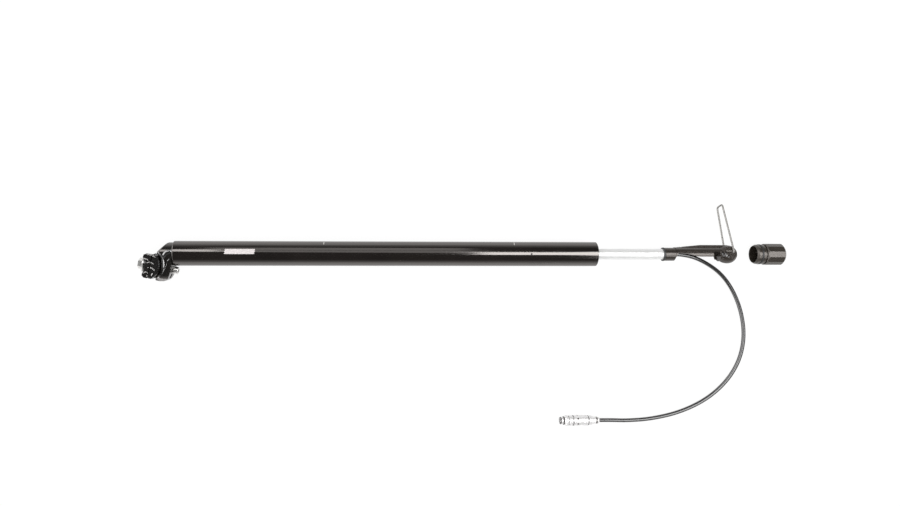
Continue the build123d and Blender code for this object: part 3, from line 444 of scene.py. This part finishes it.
# Each with its name, material, line, half width, rise and slope
HEAD_RIBS = [
    ("cradle_rim", "rim_black", arc(CLAMP_AXIS, 25.0, range(44, -51, -10)), 2.3, 1.5, 0.0),
    (
        "head_fold",
        "rim_black",
        [(-592.2, -27.5), (-589.9, -21), (-587.9, -15.5), (-585.7, -10.8), (-582.6, -7.4)],
        1.0, 0.7, 0.0,
    ),
    (
        "elbow_crease",
        "rim_black",
        [(-575, 3.4), (-581, 2.8), (-586.3, 1.0), (-589.8, -2.6), (-590.8, -7.5)],
        2.9, 1.4, 0.0,
    ),
    # A pale strip under the head, a painted reflection of the table
    (
        "head_belly",
        "belly_painted_reflection",
        [(-599.4, -33.4), (-595.5, -34.6), (-591.5, -35.0), (-587.5, -34.6)],
        2.6, 0.4, -0.9,
    ),
]

# Painted highlights on the clamp, pale streaks for the light its edges catch, each with its half
# width and line
CLAMP_HIGHLIGHTS = [
    (1.1, [(-609.5, -1.6), (-604, -2.0), (-600.8, -3.5), (-597.6, -5.6)]),
    (0.8, [(-609.5, -13.2), (-605.8, -11.9), (-602.6, -12.6), (-600.2, -14.8)]),
    (0.8, [(-608.5, -19.0), (-604.5, -19.0), (-600.8, -20.8), (-598.9, -23.6)]),
    (0.8, [(-614.2, -27.0), (-612.0, -25.0), (-609.2, -24.9), (-607.4, -26.4)]),
    (0.8, [(-606.8, -26.6), (-608.2, -29.0), (-609.2, -31.0)]),
    (0.8, [(-601.2, -26.2), (-602.6, -28.2), (-603.2, -30.2)]),
    (0.8, [(-612.4, -6.8), (-609.4, -7.6), (-607.2, -9.4)]),
]
CLAMP_HIGHLIGHT_RISE = 0.5

# Each with its name, material, line and half width
FOOT_RIBS = [
    # A dark patch by the pivot, painted shade
    (
        "pivot_shade_patch",
        "painted_shade_black",
        [(178.0, 1.2), (181.0, -0.2), (184.4, -1.8), (187.0, -4.4)],
        3.9,
    ),
    # A pale ridge along the foot, a painted highlight
    ("pivot_highlight_ridge", "painted_highlight_grey", [(183, 4.9), (189, 4.7), (195, 4.6), (202, 4.4)], 1.4),
]
FOOT_RIB_RISE = 0.6


def make_head_details():
    for name, material, points, half_width, rise, slope in HEAD_RIBS:
        rib(
            name, material, "post", ["post_head"],
            points, half_width, rise, slope,
        )


# Lays the clamp's painted highlights as pale streaks
def make_clamp_highlights():
    for number, (half_width, points) in enumerate(CLAMP_HIGHLIGHTS, 1):
        rib(
            f"clamp_painted_highlight_{number}", "painted_highlight_metal", "saddle_clamp",
            ["upper_rail_plate", "lower_rail_cradle"],
            points, half_width, CLAMP_HIGHLIGHT_RISE,
        )


# Lays a dark patch of painted shade by the foot's pivot, and a pale ridge of painted highlight along
# the foot
def make_foot_details():
    for name, material, points, half_width in FOOT_RIBS:
        rib(
            name, material, "pump_rod", ["foot_body", "foot_end"],
            points, half_width, FOOT_RIB_RISE,
        )


# Rings and ports of the chuck

RING_SIDES = 48
RING_EDGE = 0.25
RING_DEPTH = 0.6
PORT_SIDES = 20

# Radius and height over the chuck, from the foot of a port's dark disc to its top
PORT_PROFILE = ((1.45, -0.2), (1.35, 0.05), (0.9, 0.12))

# Each with its name, material, body, slot, start, end and radius
CHUCK_RINGS = [
    ("chuck_lip_ring", "seam_and_port_shade_dark", "chuck_sleeve", "seal_rubber", -44.2, -42.5, 5.0),
    ("chuck_nose_ring", "seam_and_port_shade_dark", "chuck_sleeve", "seal_rubber", -39.7, -38.0, 5.85),
    ("chuck_grip_ring", "seam_grey", "chuck_sleeve", "seal_rubber", -32.5, -31.4, 6.75),
    ("chuck_seam_ring", "seam_grey", "pump_rod", "seal_rubber", -25.8, -25.1, 7.4),
    ("nut_seam_ring", "seam_grey", "pump_rod", "seal_rubber", -4.7, -3.7, 7.1),
    ("nut_collar_ring", "collar_grey", "pump_rod", "chuck_aluminium", 6.4, 9.6, 4.9),
]


def chuck_vertex(mesh, x, radius, angle):
    """A vertex at a distance from the chuck's axis. The angle runs from straight up towards +Y."""
    y = CHUCK_Y + radius * math.sin(angle)
    z = CHUCK_Z + radius * math.cos(angle)
    return mesh.verts.new((x * MM, y * MM, z * MM))


def turned_ring(name, material, body, slot, x_start, x_end, radius):
    """A ring with bevelled edges round the chuck's axis."""
    edge = min(RING_EDGE, (x_end - x_start) / 3)
    profile = [
        (x_start, radius - RING_DEPTH),
        (x_start, radius - edge),
        (x_start + edge, radius),
        (x_end - edge, radius),
        (x_end, radius - edge),
        (x_end, radius - RING_DEPTH),
    ]
    mesh = bmesh.new()
    rows = []
    for side in range(RING_SIDES):
        angle = 2 * math.pi * side / RING_SIDES
        rows.append([chuck_vertex(mesh, x, reach, angle) for x, reach in profile])
    for first, second in zip(rows, rows[1:] + rows[:1]):
        bridge_round(mesh, first, second)
    new_piece(name, mesh, material, body)


def port_shade_disc(name, angle_degrees):
    """A shallow dark disc over a port of the chuck, painted shade for the inside of the port."""
    angle = math.radians(angle_degrees)
    mesh = bmesh.new()
    rows = []
    for radius, height in PORT_PROFILE:
        row = []
        for side in range(PORT_SIDES):
            turn = 2 * math.pi * side / PORT_SIDES
            x = PORT_X + radius * math.cos(turn)
            around = angle + radius * math.sin(turn) / CHUCK_R
            row.append(chuck_vertex(mesh, x, CHUCK_R + height, around))
        rows.append(row)
    for first, second in zip(rows, rows[1:]):
        bridge_round(mesh, first, second)
    mesh.faces.new(rows[-1])
    mesh.faces.new(list(reversed(rows[0])))
    new_piece(name, mesh, "seam_and_port_shade_dark", "pump_rod")


def make_chuck_details():
    for ring in CHUCK_RINGS:
        turned_ring(*ring)
    for number in range(PORTS):
        port_shade_disc(f"port_shade_disc_{number + 1}", FIRST_PORT_DEGREES + number * 360 / PORTS)


make_head_details()
make_clamp_highlights()
make_chuck_details()
make_foot_details()


# Hose, after the pieces that it carries

def make_hose():
    curve = bpy.data.curves.new("hose", "CURVE")
    curve.dimensions = "3D"
    curve.resolution_u = 12
    curve.bevel_depth = HOSE_D / 2
    curve.bevel_resolution = 6
    spline = curve.splines.new("NURBS")
    spline.points.add(len(HOSE_ROUTE_MM) - 1)
    for point, place in zip(spline.points, HOSE_ROUTE_MM):
        point.co = (*(value * MM for value in place), 1)
    spline.order_u = 3
    spline.use_endpoint_u = True
    curve.materials.append(materials["hose_rubber"])
    hose = in_scene(bpy.data.objects.new("hose", curve))
    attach(hose, "pump_rod")
    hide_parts("air_hose")


make_hose()


# Table, which glows where the camera, a reflection or a clear piece shows it

TABLE_HALF = 6.0
TABLE_GREY = 0.86
TABLE_ROUGHNESS = 0.9
TABLE_GLOW = 1.08
TABLE_GLOW_SHARE = 0.85


def make_table():
    shader = Shader("table_white")
    shader.set(Base_Color=grey(TABLE_GREY), Roughness=TABLE_ROUGHNESS)
    glow = shader.add("ShaderNodeEmission")
    glow.inputs["Strength"].default_value = TABLE_GLOW
    path = shader.add("ShaderNodeLightPath")
    seen = shader.calculate("MAXIMUM", (path, "Is Camera Ray"), (path, "Is Glossy Ray"))
    seen_through = shader.calculate("MAXIMUM", (seen, 0), (path, "Is Transmission Ray"))
    share = shader.calculate("MULTIPLY", (seen_through, 0), TABLE_GLOW_SHARE)
    blend = shader.blend((share, 0), (shader.surface, "BSDF"), (glow, "Emission"))
    shader.join(blend, "Shader", shader.output, "Surface")

    mesh = bpy.data.meshes.new("table")
    corners = [
        (-TABLE_HALF, -TABLE_HALF, TABLE_Z),
        (TABLE_HALF, -TABLE_HALF, TABLE_Z),
        (TABLE_HALF, TABLE_HALF, TABLE_Z),
        (-TABLE_HALF, TABLE_HALF, TABLE_Z),
    ]
    mesh.from_pydata(corners, [], [(0, 1, 2, 3)])
    mesh.materials.append(shader.material)
    in_scene(bpy.data.objects.new("table", mesh))


make_table()


# Lamps, each with its name, centre, size and power. Each faces the post's axis at its own X.
# A card lights only what shines, and the daylight only what is matt.

DAYLIGHT = ("daylight", (0.1, -0.4, 2.2), (2.4, 1.6), 26)
CARDS = [
    ("softbox_right", (0.63, 0.1, 1.35), (1.14, 0.8), 19),
    ("softbox_corner", (0.9, -0.75, 1.35), (0.7, 0.8), 7),
    ("softbox_left_low", (-0.4, 0.53, 1.35), (1.0, 0.36), 0.9),
    ("softbox_left_high", (-0.4, 1.25, 1.35), (1.0, 0.8), 2.1),
    ("softbox_head", (-1.05, 0.68, 1.35), (0.5, 0.5), 3.0),
]


def softbox(name, centre, size, power, card):
    light = bpy.data.lights.new(name, "AREA")
    light.shape = "RECTANGLE"
    light.size, light.size_y = size
    light.energy = power
    lamp = in_scene(bpy.data.objects.new(name, light))
    lamp.location = centre
    lamp.visible_diffuse = not card
    lamp.visible_glossy = card
    target = Vector((centre[0], 0, 0))
    lamp.rotation_euler = (target - Vector(centre)).to_track_quat("-Z", "Y").to_euler()


softbox(*DAYLIGHT, card=False)
for lamp_card in CARDS:
    softbox(*lamp_card, card=True)


# Room, as what shines sees it: its levels run from the horizon at 0 to straight overhead at 1,
# and those of a window on the left from the middle at 0 to the far left at 1

ROOM_EVEN = 0.53
ROOM_LEVELS = [(0.0, 0.74), (0.1, 0.66), (0.3, 0.38), (0.42, 0.16), (0.5, 0.09), (0.7, 0.07)]
WINDOW_LEVELS = [(0.0, 0.0), (0.4, 0.0), (0.6, 1.0), (0.9, 1.0)]
WINDOW_STRENGTH = 4.0


def make_room():
    """White for the camera, even light for what is matt, and levels for what shines."""
    world = bpy.data.worlds.new("studio")
    world.use_nodes = True
    bpy.context.scene.world = world
    room = NodeTree(world.node_tree)
    direction = room.add("ShaderNodeTexCoord")
    split = room.add("ShaderNodeSeparateXYZ")
    room.join(direction, "Generated", split, 0)
    height = room.ramp((split, "Z"), ROOM_LEVELS)
    leftward = room.calculate("MULTIPLY", (split, "X"), -1.0)
    window = room.ramp((leftward, 0), WINDOW_LEVELS)
    window_share = room.calculate("MULTIPLY", (window, "Color"), WINDOW_STRENGTH)
    level = room.calculate("ADD", (height, "Color"), (window_share, 0))
    shine = room.add("ShaderNodeBackground")
    room.join(level, 0, shine, "Strength")
    even = room.add("ShaderNodeBackground")
    even.inputs["Color"].default_value = grey(1.0)
    even.inputs["Strength"].default_value = ROOM_EVEN
    white = room.add("ShaderNodeBackground")
    white.inputs["Color"].default_value = grey(1.0)
    path = room.add("ShaderNodeLightPath")
    lit = room.blend((path, "Is Glossy Ray"), (even, 0), (shine, 0))
    seen = room.blend((path, "Is Camera Ray"), (lit, 0), (white, 0))
    output = room.add("ShaderNodeOutputWorld")
    room.join(seen, 0, output, "Surface")


make_room()
bpy.context.scene.view_settings.view_transform = "Standard"


# Camera, which is the pinhole camera that was fitted to the photograph

FOCAL_PX = 740.0
PHOTO_WIDTH_PX = 900.0
SENSOR = 36.0
CAMERA_FAR = 50
CAMERA_SHIFT = 0.0578
CAMERA_PAN = math.radians(3.3)
CAMERA_ROLL = 0.00206
CAMERA_PLACE = (-0.335127, 0.00099, 1.017906)


def make_camera():
    data = bpy.data.cameras.new("camera")
    data.sensor_width = SENSOR
    data.lens = FOCAL_PX / PHOTO_WIDTH_PX * SENSOR
    data.clip_end = CAMERA_FAR
    data.shift_x = CAMERA_SHIFT
    camera = in_scene(bpy.data.objects.new("camera", data))
    level = Vector((math.cos(CAMERA_PAN), 0, math.sin(CAMERA_PAN)))
    back = Vector((-math.sin(CAMERA_PAN), 0, math.cos(CAMERA_PAN)))
    across = Vector((0, 1, 0))
    right = level * math.cos(CAMERA_ROLL) + across * math.sin(CAMERA_ROLL)
    up = across * math.cos(CAMERA_ROLL) - level * math.sin(CAMERA_ROLL)
    turn = Matrix((right, up, back)).transposed().to_4x4()
    camera.matrix_world = Matrix.Translation(CAMERA_PLACE) @ turn
    bpy.context.scene.camera = camera


make_camera()
